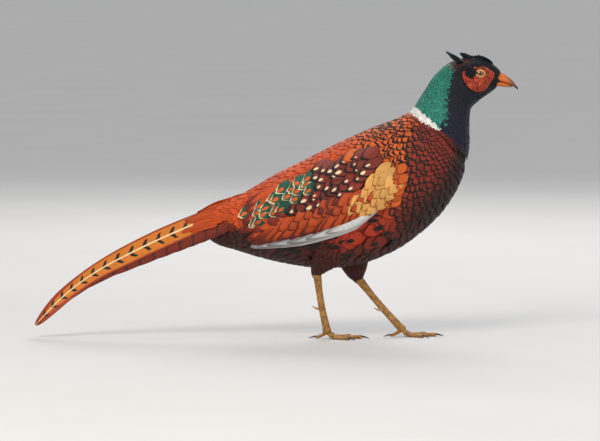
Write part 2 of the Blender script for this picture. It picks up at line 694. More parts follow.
def horn_material(name, base, tip, axis_low, axis_high, ridge=0.0):
    """Keratin of bill, spur and claw: satin, streaked along its growth, darker to the tip and the ridge.

    Its streaks are 1.1 mm wide and 7 mm long.
    """
    material, tree, shader = new_material(name, 0.35, 0.0, 1.54)
    place = node(tree, "TexCoord").outputs["Object"]
    split = node(tree, "SeparateXYZ", (place,))
    streak = (scale_for(7.1), scale_for(1.11), scale_for(1.11))
    stretched = node(tree, "Mapping", {"Vector": place, "Scale": streak})
    grain = node(tree, "TexNoise", {"Vector": stretched, "Scale": 1.0, "Detail": 4.0})
    fade = node(tree, "MapRange", (split, axis_low, axis_high), interpolation_type="SMOOTHSTEP")
    uneven = node(tree, "Math", (grain, 0.5, -0.25), operation="MULTIPLY_ADD")
    fade = node(tree, "Math", (fade, uneven), operation="ADD")
    colour = node(tree, "Mix", (fade, linear(base), linear(tip)), data_type="RGBA")
    if ridge:
        off = node(tree, "Math", (split.outputs[1],), operation="ABSOLUTE")
        near = node(tree, "MapRange", (off, ridge * 1.4, ridge * 0.6), interpolation_type="SMOOTHSTEP")
        near = node(tree, "Math", (near, 0.85), operation="MULTIPLY")
        colour = node(tree, "Mix", (near, colour, linear(tip)), data_type="RGBA")
    shade = node(tree, "Math", (grain, 0.5, 0.75), operation="MULTIPLY_ADD")
    bright = node(tree, "HueSaturation", {"Value": shade, "Color": colour})
    bump = node(tree, "Bump", {"Strength": 0.25, "Distance": 0.3 * MM, "Height": grain})
    feed(shader, {"Base Color": bright, "Normal": bump})
    return material


def face_material():
    """Bare facial skin: velvety papillae 1.2 mm across, red with darker creases and paler patches of 6 mm."""
    material, tree, shader = new_material("papillated_face_skin", 0.62, 0.0, 1.42, Subsurface_Weight=0.08)
    place = node(tree, "TexCoord").outputs["Object"]
    cells = node(tree, "TexVoronoi", {"Vector": place, "Scale": scale_for(1.18)})
    cloud = node(tree, "TexNoise", {"Vector": place, "Scale": scale_for(6.25), "Detail": 3.0})
    crease = node(tree, "MapRange", (cells, 0.25, 0.75), interpolation_type="SMOOTHSTEP")
    colour = node(tree, "Mix", (crease, linear("#C2401C"), linear("#6A180C")), data_type="RGBA")
    pale = node(tree, "MapRange", (cloud, 0.58, 0.72), interpolation_type="SMOOTHSTEP")
    colour = node(tree, "Mix", (pale, colour, linear("#D8713C")), data_type="RGBA")
    bump = node(tree, "Bump", {"Strength": 0.7, "Distance": 0.6 * MM, "Height": cells}, invert=True)
    feed(shader, {"Base Color": colour, "Normal": bump})
    return material


def leg_material():
    """Scaly skin of shank and toes: a satin net of small scales 1.9 mm across, in shades of buff."""
    material, tree, shader = new_material("scaly_leg_skin", 0.48, 0.0, 1.5)
    place = node(tree, "TexCoord").outputs["Object"]
    cells = node(
        tree, "TexVoronoi", {"Vector": place, "Scale": scale_for(1.92)}, feature="DISTANCE_TO_EDGE"
    )
    cloud = node(tree, "TexNoise", {"Vector": place, "Scale": scale_for(7.7), "Detail": 4.0})
    shades = node(tree, "MapRange", (cloud, 0.35, 0.65), interpolation_type="SMOOTHSTEP")
    colour = node(tree, "Mix", (shades, linear("#9C6A26"), linear("#C58F45")), data_type="RGBA")
    seam = node(tree, "MapRange", (cells, 0.12, 0.0), interpolation_type="SMOOTHSTEP")
    colour = node(tree, "Mix", (seam, colour, linear("#4A2C12")), data_type="RGBA")
    height = node(tree, "MapRange", (cells, 0.0, 0.2), interpolation_type="SMOOTHSTEP")
    bump = node(tree, "Bump", {"Strength": 0.5, "Distance": 0.5 * MM, "Height": height})
    feed(shader, {"Base Color": colour, "Normal": bump})
    return material


def eye_material(centre, gaze):
    """Wet cornea over an amber iris: sharp highlights, and rings round the line of sight.

    The fibres of the iris are 0.7 mm across, coarser than real ones, so that they show.
    """
    material, tree, shader = new_material("wet_eye", 0.04, 0.0, 1.376, Coat_Weight=1.0, Coat_Roughness=0.02)
    place = node(tree, "TexCoord").outputs["Object"]
    from_centre = node(tree, "VectorMath", (place, centre), operation="SUBTRACT")
    line = node(tree, "VectorMath", (from_centre,), operation="NORMALIZE")
    facing = node(tree, "VectorMath", (line, gaze), operation="DOT_PRODUCT")
    angle = node(tree, "Math", (facing,), operation="ARCCOSINE")
    fibres = node(tree, "TexNoise", {"Vector": place, "Scale": scale_for(0.67), "Detail": 2.0})
    iris = node(tree, "Mix", (fibres, linear("#9A4A14"), linear("#D98A34")), data_type="RGBA")
    pupil = node(tree, "MapRange", (angle, 0.5, 0.46), interpolation_type="SMOOTHSTEP")
    colour = node(tree, "Mix", (pupil, iris, linear("#050403")), data_type="RGBA")
    outer = node(tree, "MapRange", (angle, 0.76, 0.84), interpolation_type="SMOOTHSTEP")
    colour = node(tree, "Mix", (outer, colour, linear("#1A0F0A")), data_type="RGBA")
    feed(shader, {"Base Color": colour})
    return material


def lid_material():
    """Thin eyelid skin: matt pale yellow with fine wrinkles 1.1 mm across."""
    material, tree, shader = new_material("eyelid_skin", 0.55, 0.0, 1.42)
    place = node(tree, "TexCoord").outputs["Object"]
    cloud = node(tree, "TexNoise", {"Vector": place, "Scale": scale_for(1.11), "Detail": 3.0})
    colour = node(tree, "Mix", (cloud, linear("#E2C68A"), linear("#A8794A")), data_type="RGBA")
    bump = node(tree, "Bump", {"Strength": 0.4, "Distance": 0.3 * MM, "Height": cloud})
    feed(shader, {"Base Color": colour, "Normal": bump})
    return material


def floor_material():
    """Painted studio floor: pale, matt and all but even, with shades a third of a metre across."""
    material, tree, shader = new_material("painted_floor", 0.8, 0.0, 1.45)
    place = node(tree, "TexCoord").outputs["Object"]
    cloud = node(tree, "TexNoise", {"Vector": place, "Scale": scale_for(333), "Detail": 2.0})
    colour = node(tree, "Mix", (cloud, linear("#C9C8C6"), linear("#D1D0CE")), data_type="RGBA")
    feed(shader, {"Base Color": colour})
    return material


# The skin
def make_skin():
    sizes = bpy.context.scene.pheasant_sizes
    depth = sizes.coat_depth / MM
    bm = bmesh.new()

    def body(t, angle, radial):
        x, z, up_x, up_z, rise, half = section(t * BODY_END)
        # the skin draws back at the root of the bill
        deep = depth * (1 + 1.3 * ramp(17.3, 18.6, t * BODY_END))
        up = (rise - deep) * radial * np.cos(angle)
        return np.stack([x + up_x * up, (half - deep) * radial * np.sin(angle), z + up_z * up], -1)

    closed_tube(bm, 48, 90, body)
    for leg in LEGS.values():
        bulk = leg["bulk"]

        def girth(t, angle):
            deep = profile(bulk, t) - depth
            return deep * THIGH_FLAT, deep

        limb(bm, leg["thigh"], 24, 16, girth)
    skin = finish_mesh("skin", bm, skin_material())
    remesh = skin.modifiers.new("one skin", "REMESH")
    remesh.mode = "VOXEL"
    remesh.voxel_size = SKIN_VOXEL * MM
    soften = skin.modifiers.new("soften", "SMOOTH")
    soften.factor, soften.iterations = 0.5, 4
    apply_modifiers(skin)
    mesh = skin.data
    mesh.polygons.foreach_set("use_smooth", [True] * len(mesh.polygons))
    points = np.empty(len(mesh.vertices) * 3)
    mesh.vertices.foreach_get("co", points)
    x, y, z = points.reshape(-1, 3).T / MM
    s = find_station(x, z, 0.0, BODY_END)
    cx, cz, ux, uz, rise, _ = section(s)
    q = np.clip(((x - cx) * ux + (z - cz) * uz) / rise, -1, 1)
    ground = plumage(x, z, s, q)[0]
    rows = np.concatenate([ground, np.ones((len(x), 1))], 1)
    data = mesh.attributes.new("ground", "FLOAT_COLOR", "POINT").data
    data.foreach_set("color", rows.astype(np.float32).ravel())
    angle = np.where(y < 0, 1, -1) * np.arccos(q)
    corner = np.empty(len(mesh.loops), np.int32)
    mesh.loops.foreach_get("vertex_index", corner)
    place = bake_place(s, angle)[corner]
    mesh.uv_layers.new(name="OFBake").data.foreach_set("uv", place.astype(np.float32).ravel())
    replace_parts(skin, "head", "neck", "torso", "thigh_right", "thigh_left")


def apply_modifiers(made):
    graph = bpy.context.evaluated_depsgraph_get()
    mesh = bpy.data.meshes.new_from_object(made.evaluated_get(graph))
    made.modifiers.clear()
    made.data = mesh


# The coat
def under_wing(x, z, margin):
    """Inside the folded wing's outline in side view, by a margin in mm."""
    place = np.linspace(0, len(WING_TOP) - 1, 60)
    top, foot = along(WING_TOP, place), along(WING_FOOT, place)
    above = np.interp(x, top[::-1, 0], top[::-1, 1])
    below = np.interp(x, foot[::-1, 0], foot[::-1, 1])
    return (z < above - margin) & (z > below + margin) & (x > -10 + margin) & (x < 176 - margin)


def face_reach(turn):
    """Reach of the bare face from the eye, by share of a whole turn."""
    return along(FACE_REACH * 3, turn * len(FACE_REACH) + len(FACE_REACH))


def face_share(x, z):
    """Distance from the eye as a share of the bare face's reach."""
    dx, dz = x - EYE[0], z - EYE[1]
    turn = np.mod(np.arctan2(dz, dx), 2 * math.pi)
    return np.hypot(dx, dz) / face_reach(turn / (2 * math.pi))


def vane_shape(u, v, tip=0.26, taper=0.4):
    """Along and across shares of a vane: narrow root, full middle and round tip."""
    width = np.minimum(1, 0.35 + 2.2 * u) * (1 - taper * u**4)
    return u * (1 - tip * u * u * v * v), v * width


def tract(plume, point, s, angle, length, width, rise, rng, sunk, camber=0.35):
    """Lays one vane at each root on a surface, tailwards, and returns their corner points in mm.

    A vane starts sunk below the surface and ends at its rise above it.
    """
    thick, frayed = 0.22, 0.02
    n = len(s)
    _, normal, js, ja = lay(point, s, angle)
    tail = -unit(js)
    side = np.cross(normal, tail)
    spin = rng.normal(0, 0.07, n)
    cos, sin = np.cos(spin)[:, None], np.sin(spin)[:, None]
    tail, side = tail * cos + side * sin, side * cos - tail * sin
    ss, sa, aa = (js * js).sum(-1), (js * ja).sum(-1), (ja * ja).sum(-1)
    det = ss * aa - sa * sa

    def spread(direction):
        ps, pa = (direction * js).sum(-1), (direction * ja).sum(-1)
        return (ps * aa - pa * sa) / det, (pa * ss - ps * sa) / det

    (tail_s, tail_a), (side_s, side_a) = spread(tail), spread(side)
    u, v = plume.u[None], plume.v[None]
    a, b = vane_shape(u, v)
    a = (a + plume.ragged(rng, n, frayed)) * length[:, None]
    b = b * (width / 2)[:, None]
    place_s = s[:, None] + a * tail_s[:, None] + b * side_s[:, None]
    place_a = angle[:, None] + a * tail_a[:, None] + b * side_a[:, None]
    ground, out, _, _ = lay(point, place_s, place_a)
    lifted = -sunk + (rise[:, None] + sunk) * np.minimum(1, u * 1.25) ** 0.8 + camber * (1 - v * v) * u
    lifted = lifted + plume.face[None] * thick * (1 - 0.5 * u) + rng.normal(0, 0.1, (n, 1)) * u
    return ground + out * lifted[..., None]


def scatter(rng, first, last, gap, spacing):
    """Staggered rows of roots on the body: gap(s) between rows and spacing(s) round each, in mm."""
    stations, angles = [], []
    around, beside = np.linspace(0, 2 * math.pi, GIRTH_PLACES), np.array([SIDE_ANGLE])
    s, row, ahead = first, 0, 0.05
    while s < last:
        ring = body_point(np.full(GIRTH_PLACES, s), around)
        steps = np.linalg.norm(np.diff(ring, axis=0), axis=1)
        girth = steps.sum()
        count = max(6, int(girth / spacing(s)))
        turn = (np.arange(count) + 0.5 * (row % 2)) / count * 2 * math.pi - math.pi
        shares = np.append(0, steps.cumsum() / girth)
        even = np.interp((turn + math.pi) / (2 * math.pi), shares, around)
        stations.append(s + rng.normal(0, 0.12, count) * gap(s) / 30)
        angles.append(even - math.pi + rng.normal(0, 0.008, count))
        step = np.linalg.norm(body_point(np.array([s + ahead]), beside) - body_point(np.array([s]), beside))
        s += gap(s) / (step / ahead)
        row += 1
    return np.concatenate(stations), np.concatenate(angles)


def vane_length(s):
    """Length in mm of a feather by station."""
    sizes = bpy.context.scene.pheasant_sizes
    body, neck, head = sizes.body_vane / MM, sizes.neck_vane / MM, sizes.head_vane / MM
    lengths = [body * 1.35, body * 1.2, body * 1.1, body, neck, neck * 0.9, head, head * 0.7]
    return np.interp(s, [0, 2, 5, 8.2, 9.8, 12.5, 14, 20], lengths)


def flank_share(s, q):
    """1 on the flank, where feathers are broad and carry black blotches."""
    return ramp(3.2, 4.2, s) * ramp(7.6, 6.9, s) * ramp(0.05, -0.1, q) * ramp(-0.92, -0.8, q)


def find_shown(x, z, s, length):
    """Side-view places most of the way down each feather."""
    step, beside, share = 0.05, np.full(len(s), SIDE_ANGLE), 0.7
    ahead = unit(body_point(s + step, beside) - body_point(s - step, beside))
    return x - ahead[:, 0] * length * share, z - ahead[:, 2] * length * share


def make_coat():
    rng = np.random.default_rng(7)
    contour = feather_material("contour_feather", 0.58, 0.0, Specular_IOR_Level=0.3)
    glossy = feather_material(
        "glossy_neck_feather", 0.38, 0.3, barbs=9.0, Specular_IOR_Level=0.3, Coat_Weight=0.04
    )
    for name, material, slot, low, high, lengthways, across, gap, spacing in (
        ("body_feathers", contour, "copper_plumage", 0.3, 9.6, 6, 8, 0.34, 0.4),
        ("neck_and_head_feathers", glossy, "dark_plumage", 8.6, BILL_STATION, 5, 4, 0.3, 0.36),
    ):
        plume = Plumage(lengthways, across)
        s, angle = scatter(rng, low, high, lambda s: vane_length(s) * gap, lambda s: vane_length(s) * spacing)
        x, _, z = body_point(s, angle).T
        q = np.cos(angle)
        # the two coats meet inside the collar
        above = beyond(x, z, COLLAR_LINE, COLLAR_HEADING)
        on_neck = above > -0.5 * COLLAR_DEPTH * ramp(0.0, 0.3, q)
        keep = on_neck if low > 5 else ~on_neck
        # none deep under the folded wing, on the bare face or ahead of the bill's root
        keep &= ~under_wing(x, z, 16) | (np.abs(np.sin(angle)) < 0.3)
        keep &= (face_share(x, z) > 0.95) | (s < 13.4) | (np.abs(np.sin(angle)) < 0.62)
        keep &= x < np.interp(z, *BILL_LINE)
        flank = flank_share(s, q)
        # the flank's are broad, so about half are enough
        keep &= (flank < 0.5) | (rng.random(len(s)) < 0.55)
        s, angle, x, z, q, flank = (row[keep] for row in (s, angle, x, z, q, flank))
        n = len(s)
        length = vane_length(s) * rng.uniform(0.92, 1.08, n)
        wide = length * np.where(s > 9.2, 0.66, 0.68) * (1 + 0.35 * flank)
        length = length * (1 + 0.4 * ramp(4.5, 2.0, s) * ramp(-0.2, 0.4, q) + 0.25 * flank)
        rise = np.interp(s, [0, 6, 9, 9.8, 13, 20], [1.5, 1.5, 1.3, 0.8, 0.5, 0.35])
        camber = 0.4 if low < 5 else 0.22
        corners = tract(plume, body_point, s, angle, length, wide, rise, rng, 0.9, camber)
        # a feather takes its colours from where it shows, near its tip
        shown = find_shown(x, z, s, length)
        ground, edge, parts = plumage(*shown, s, q, rng.normal(0, 1, n))
        marks = np.zeros((n, 4))
        marks[:, 0] = edge_band(parts)
        blotched = (flank > 0.5) & (rng.random(n) < 0.66)
        marks[:, 1] = np.where(blotched, rng.uniform(0.34, 0.56, n), 0.0)
        marks[:, 3] = rng.random(n)
        blotch = np.broadcast_to(linear("#0E0706"), (n, 3))
        plume.add(corners, ground, edge, blotch, marks, bake_place(s, angle))
        plume.make(name, material, slot)


def make_thigh_coat():
    rng = np.random.default_rng(11)
    contour = bpy.data.materials["contour_feather"]
    plume = Plumage(5, 4)
    for leg in LEGS.values():
        points, bulk = np.array(leg["thigh"], float), leg["bulk"]

        def surface(s, angle):
            t = 1 - s
            centre, across, front = spine_frame(points, t)
            deep = profile(bulk, t)
            beside = across * (deep * THIGH_FLAT * np.sin(-angle))[..., None]
            return centre + beside + front * (deep * np.cos(angle))[..., None]

        rows, count = np.arange(0.02, 0.72, 0.04), 20
        s = np.repeat(rows, count) + rng.normal(0, 0.006, len(rows) * count)
        turn = np.tile(np.arange(count) / count * 2 * math.pi, len(rows))
        angle = turn + np.repeat(np.arange(len(rows)) % 2, count) * 0.16
        length = np.full(len(s), 13.0) * np.interp(s, [0, 0.3], [0.5, 1])
        corners = tract(plume, surface, s, angle, length, length * 0.55, np.full(len(s), 1.1), rng, 0.8)
        n = len(s)
        belly = np.broadcast_to(linear("#4A160C"), (n, 3))
        marks = np.zeros((n, 4))
        marks[:, 0], marks[:, 3] = 0.22, rng.random(n)
        roots = surface(s, angle)
        station = find_station(roots[:, 0], roots[:, 2], 0, BODY_END)
        place = bake_place(station, np.full(n, leg["side"] * -2.6))
        edge = np.broadcast_to(linear("#1E0A07"), (n, 3))
        plume.add(corners, belly, edge, belly, marks, place)
    plume.make("thigh_feathers", contour, "thigh_plumage")


# The wings
def wing_base(x, z):
    """Height in mm of the folded wing over the flank, by side-view place."""
    place = np.linspace(0, len(WING_TOP) - 1, 60)
    top, foot = along(WING_TOP, place)[::-1], along(WING_FOOT, place)[::-1]
    above, below = np.interp(x, top[:, 0], top[:, 1]), np.interp(x, foot[:, 0], foot[:, 1])
    share = (z - below) / (above - below)
    dome = ramp(-0.1, 0.35, share) * ramp(1.06, 0.7, share) * ramp(186, 158, x)
    return 1.6 + 6.4 * dome * np.interp(x, [-15, 60, 120], [0.3, 0.75, 1])


def side_vanes(plume, root, tip, width, over, rng, side, bow=0.0, frayed=0.015, lean=0.5):
    """Corner points of vanes drawn in side view from root to tip, lying on the wing, in mm.

    over is their height over the wing at root and tip; bow bends them and lean tilts them across.
    """
    root, tip = np.asarray(root, float), np.asarray(tip, float)
    n = len(root)
    d = tip - root
    size = np.hypot(d[:, 0], d[:, 1])[:, None]
    dx, dz = d[:, :1] / size, d[:, 1:] / size
    u, v = plume.u[None], plume.v[None]
    width = np.broadcast_to(width, (n,))[:, None]
    a, b = vane_shape(u, v, 0.26 * width / size * 1.6)
    a = (a + plume.ragged(rng, n, frayed)) * size
    b = b * width / 2 + bow * np.sin(math.pi * u)
    x, z = root[:, :1] + dx * a + dz * b, root[:, 1:] + dz * a - dx * b
    low, high = over
    lift = wing_base(x, z) + mix(low, high, np.minimum(1, u * 1.3)) + lean * v * u
    lift = lift + 0.35 * (1 - v * v) * u + plume.face[None] * 0.3 + rng.normal(0, 0.08, (n, 1))
    return on_side(x, z, lift, side)


def primary_vanes(plume, ends, rng, side):
    """Corner points of the folded primaries, which all bend along the pale crescent, in mm."""
    u, v = plume.u[None], plume.v[None]
    a, b = vane_shape(u, v, 0.06, 0.3)
    t = (a + plume.ragged(rng, len(ends), 0.006)) * ends[:, None]
    centre, ahead = along(BAND_EDGE, t), unit(along(BAND_EDGE, t + 0.02) - along(BAND_EDGE, t - 0.02))
    rank = np.arange(len(ends))[:, None]
    across = b * np.interp(t, [0, 2, 4, 6], [3.5, 7.2, 7.0, 4.4]) * (1 - 0.07 * rank) + 4.4 + 0.5 * rank
    x, z = centre[..., 0] + ahead[..., 1] * across, centre[..., 1] - ahead[..., 0] * across
    tucked = ramp(1.4, 0.0, t)
    lift = wing_base(x, z) + mix(1.2 + 0.5 * rank, -2.2, tucked) + 0.4 * (1 - v * v) * u
    lift = lift + plume.face[None] * 0.3
    return on_side(x, z, lift, side)


def lattice(outline, heading, gap, spacing, rng):
    """Staggered roots inside a side-view outline, in rows across the heading, rearmost first."""
    turn = math.radians(heading)
    ahead, across = np.array([math.cos(turn), math.sin(turn)]), np.array([-math.sin(turn), math.cos(turn)])
    centre = np.mean(outline, axis=0)
    rows, columns = np.meshgrid(np.arange(-16, 17), np.arange(-16, 17), indexing="ij")
    places = -rows[..., None] * gap * ahead + (columns + 0.5 * (rows % 2))[..., None] * spacing * across
    places = places.reshape(-1, 2) + centre
    places = places[inside_outline(places[:, 0], places[:, 1], list(outline))]
    return places + rng.normal(0, 0.6, places.shape), ahead


# Side-view outlines in mm of the wing's feather groups
BUFF_PATCH = (
    (164, 246), (175, 236), (177, 216), (166, 201), (146, 193),
    (126, 186), (112, 184), (116, 196), (130, 212), (146, 232),
)
SHOULDER = (
    (176, 254), (183, 228), (182, 206), (172, 192), (156, 189),
    (134, 183), (128, 190), (152, 200), (172, 218),
)
SCAPULARS = (
    (168, 252), (150, 238), (124, 212), (98, 184), (60, 184), (20, 172),
    (-2, 160), (-14, 186), (28, 214), (80, 242), (132, 262),
)
GREATER_COVERTS = ((156, 212), (150, 198), (104, 184), (60, 170), (36, 168), (60, 188), (104, 202))
# Middle line of the pale crescent, from the wing's bend to its tip
BAND_EDGE = ((147, 177), (130, 166.5), (108, 153.5), (77, 143), (39, 132.8), (-6, 126.5), (-28, 124.5))

WING_HUES = {
    "rust": "#B8450F",
    "streak": "#6A1C0A",
    "cream": "#F0DDB0",
    "white": "#D2D0CC",
    "white_edge": "#8F8B8A",
    "buff": "#E0A556",
    "buff_edge": "#A65F24",
    "maroon": "#7A2410",
    "black": "#140A08",
    "green": "#0C4A34",
    "orange": "#CB5A16",
    "orange_edge": "#9A3A0C",
    "yellow": "#E39A3C",
}


def wing_marks(n, ground, edge, spot, band, spot_size, rng):
    """Colours and marks of n wing vanes of one kind."""
    rows = [np.broadcast_to(tint(WING_HUES[key]), (n, 3)).copy() for key in (ground, edge, spot)]
    marks = np.zeros((n, 4))
    marks[:, 0], marks[:, 1], marks[:, 3] = band, spot_size, rng.random(n)
    return rows, marks


def scapular_marks(x, z, rng):
    """Scapulars turn from cream-spotted maroon to green-ringed orange tailwards, plain orange above."""
    n = len(x)
    rows, marks = wing_marks(n, "maroon", "black", "cream", 0.3, 0.3, rng)
    marks[:, 1] *= rng.uniform(0.6, 1.15, n) * (rng.random(n) < 0.75)
    fray = rng.normal(0, 4, n)
    zones = (
        ((x + fray < 50) & (beyond(x, z, (-15, 153), 124) > 0), ("green", "cream", "orange", 0.1, 0.36)),
        (beyond(x, z, (60, 234), 105) + fray > 0, ("orange", "orange_edge", "yellow", 0.2, 0.26)),
        (beyond(x, z, (0, 166), 108) + fray < 0, ("maroon", "streak", "cream", 0.3, 0.0)),
        (beyond(x, z, (-20, 203), 109) + fray > 0, ("orange", "orange_edge", "yellow", 0.2, 0.0)),
    )
    for chosen, (ground, edge, spot, band, size) in zones:
        other, other_marks = wing_marks(n, ground, edge, spot, band, size, rng)
        for row, new in zip(rows, other):
            row[chosen] = new[chosen]
        marks[chosen, :3] = other_marks[chosen, :3]
    return rows, marks


def make_wings():
    flight = feather_material("flight_feather", 0.5, 0.0, barbs=30.0, Specular_IOR_Level=0.3)
    for side, name in ((-1, "right"), (1, "left")):
        rng = np.random.default_rng(23)
        plume = Plumage(12, 8)

        def add(root, tip, width, over, rows, marks, **shape):
            points = side_vanes(plume, root, tip, width, over, rng, side, **shape)
            root = np.asarray(root, float)
            s = find_station(root[:, 0], root[:, 1], *BELLY_RANGE)
            plume.add(points, *rows, marks, bake_place(s, np.full(len(root), -side * math.pi / 2)))

        # primaries: the pale crescent along the wing's lower edge
        ends = np.array([6.0, 5.5, 5.0, 4.4, 3.8, 3.1])
        rows, marks = wing_marks(len(ends), "white", "white_edge", "cream", 0.1, 0.0, rng)
        points = primary_vanes(plume, ends, rng, side)
        s = np.full(len(ends), 6.0)
        plume.add(points, *rows, marks, bake_place(s, np.full(len(ends), -side * math.pi / 2)))
        # secondaries: rust with dark streaks, their tips stepping along the crescent
        count = 14
        above = np.interp(np.arange(count), [0, 3, 7, 13], [8, 10.5, 10.5, 8])
        edge = along(BAND_EDGE, np.linspace(1.6, 6.0, count)) + np.stack([np.zeros(count), above], -1)
        edge = edge + rng.normal(0, 0.9, edge.shape)
        tips = np.concatenate([edge, [(-33, 138), (-37, 148), (-38, 159), (-37, 170), (-34, 180)]])
        reach = np.interp(np.arange(len(tips)), [0, 6, 16], [46, 74, 92])[:, None]
        turn = np.radians(np.interp(np.arange(len(tips)), [0, 6, 16], [40, 34, 24]))
        root = tips + reach * np.stack([np.cos(turn), np.sin(turn)], -1)
        rows, marks = wing_marks(len(tips), "rust", "streak", "cream", 0.2, 0.0, rng)
        add(root, tips, 15.0, (0.4, 2.6), rows, marks, bow=2.0, lean=0.9)
        # greater coverts over the roots of the secondaries
        root, ahead = lattice(GREATER_COVERTS, 213, 12, 10, rng)
        rows, marks = wing_marks(len(root), "rust", "streak", "cream", 0.14, 0.0, rng)
        add(root, root + ahead * 34, 15.0, (0.6, 3.2), rows, marks, lean=0.7)
        # scapulars from the shoulder to over the tail coverts
        root, ahead = lattice(SCAPULARS, 211, 9.0, 12.0, rng)
        root = root + rng.normal(0, 1.8, root.shape)
        reach = ahead * rng.uniform(26, 32, (len(root), 1)) + rng.normal(0, 1.5, root.shape)
        middle = root + ahead * 22
        rows, marks = scapular_marks(middle[:, 0], middle[:, 1], rng)
        wide = 15.5 * rng.uniform(0.85, 1.1, len(root))
        add(root, root + reach, wide, (0.4, 3.2), rows, marks, frayed=0.03)
        # lesser coverts round the shoulder, then the buff patch
        root, ahead = lattice(SHOULDER, 222, 7, 8, rng)
        rows, marks = wing_marks(len(root), "orange", "orange_edge", "cream", 0.3, 0.0, rng)
        add(root, root + ahead * 19, 12.0, (0.2, 2.4), rows, marks)
        root, ahead = lattice(BUFF_PATCH, 224, 10, 8.5, rng)
        rows, marks = wing_marks(len(root), "buff", "buff_edge", "cream", 0.07, 0.0, rng)
        add(root, root + ahead * 30 + rng.normal(0, 1.5, root.shape), 13.0, (0.8, 3.4), rows, marks)
        plume.make(f"wing_feathers_{name}", flight, "wing_plumage", f"wing_{name}")


# The tail
def tail_point(t, down, out, side):
    """A place along the tail, down its side from the ridge and outwards, in mm."""
    reach = len(TAIL_RIDGE) - 1
    centre = along(TAIL_RIDGE, t * reach)
    ahead = unit(along(TAIL_RIDGE, t * reach + 0.02) - along(TAIL_RIDGE, t * reach - 0.02))
    roll = np.radians(mix(*TAIL_ROLL, np.minimum(1, t * 2)))
    across = down * np.cos(roll) + out * np.sin(roll)
    up = -down * np.sin(roll) + out * np.cos(roll)
    x, z = centre[..., 0] + ahead[..., 1] * up, centre[..., 1] - ahead[..., 0] * up
    return np.stack([x, side * across, z], -1)


# Share of the tail's length that each pair of feathers reaches, and how far below the ridge it starts in mm
TAIL_SHARES = (1.0, 0.86, 0.74, 0.63, 0.54, 0.46, 0.39, 0.33, 0.28)
TAIL_STEPS = (-0.2, 3.4, 6.6, 9.2, 11.4, 13.2, 14.8, 16.0, 17.0)
TAIL_COLOURS = (("#C8701C", "#9A360C", "#EBCF9A"), ("#BE5A14", "#7E260B", "#D98F40"))
# Bars lie 18 mm apart, as a share of the tail's length
BAR_SPACING = 0.054


def make_tail():
    material = feather_material(
        "tail_feather", 0.45, 0.0, barbs=150.0, bars=True, sides=1.0, Specular_IOR_Level=0.35
    )
    rng = np.random.default_rng(31)
    plume = Plumage(64, 8)
    u, v = plume.u[None], plume.v[None]
    for side in (-1, 1):
        for layer, share in enumerate(TAIL_SHARES):
            t = u * share
            taper = np.minimum(1, 0.5 + 3 * u) * (1 - 0.62 * np.clip((u - 0.8) / 0.2, 0, 1) ** 2)
            half = profile(TAIL_HALF_WIDTH, t) * taper * (1 if layer == 0 else 0.9 - 0.2 * u)
            t = t - 0.02 * share * v * v * u**8
            down = TAIL_STEPS[layer] + profile(TAIL_HALF_WIDTH, t) * (1 if layer == 0 else 1.1) + half * v
            out = -0.72 * layer - 0.5 + plume.face[None] * 0.4 + 0.7 * (1 - v * v)
            points = tail_point(t, down, out, side)
            marks = np.array([[0.14 if layer == 0 else 0.3, 0.0, share / BAR_SPACING, rng.random()]])
            place = bake_place(np.array([0.2 + 0.02 * layer]), np.array([side * -0.1 * (layer + 1)]))
            rows = [np.array([linear(c)]) for c in TAIL_COLOURS[min(layer, 1)]]
            plume.add(points, *rows, marks, place)
    plume.make("tail_feathers", material, "tail_plumage", "tail")


def make_tail_coverts():
    """Long loose rump feathers that run out over the root of the tail."""
    rng = np.random.default_rng(37)
    plume = Plumage(14, 4)
    u, v = plume.u[None], plume.v[None]
    count = 150
    lean = rng.uniform(0, 1, count)[:, None]
    start = rng.uniform(-0.09, 0.08, count)[:, None] + 0.17 * lean
    reach = rng.uniform(0.1, 0.17, count)[:, None]
    side = np.where(np.arange(count) % 2, 1, -1)[:, None]
    t = start + reach * u
    down = lean * 36 * (1 - 0.3 * u) + 4.0 * v * (1 - 0.75 * u**3) - 1.0
    arch = 2.6 * np.sin(math.pi * np.minimum(1, 0.15 + u)) * (1 - 0.4 * lean)
    out = 1.0 - 1.2 * lean**2 + arch + plume.face[None] * 0.25 - 0.7 * u
    points = tail_point(np.maximum(t, -0.09), down, out + 0.2 * (1 - v * v), side)
    marks = np.stack([np.full(count, 0.14), np.zeros(count), np.zeros(count), rng.random(count)], -1)
    rows = [np.broadcast_to(linear(c), (count, 3)) for c in ("#BE470D", "#96300A", "#D08A40")]
    plume.add(points, *rows, marks, bake_place(np.full(count, 0.4), side[:, 0] * -lean[:, 0]))
    plume.make("tail_covert_feathers", bpy.data.materials["contour_feather"], "tail_plumage")


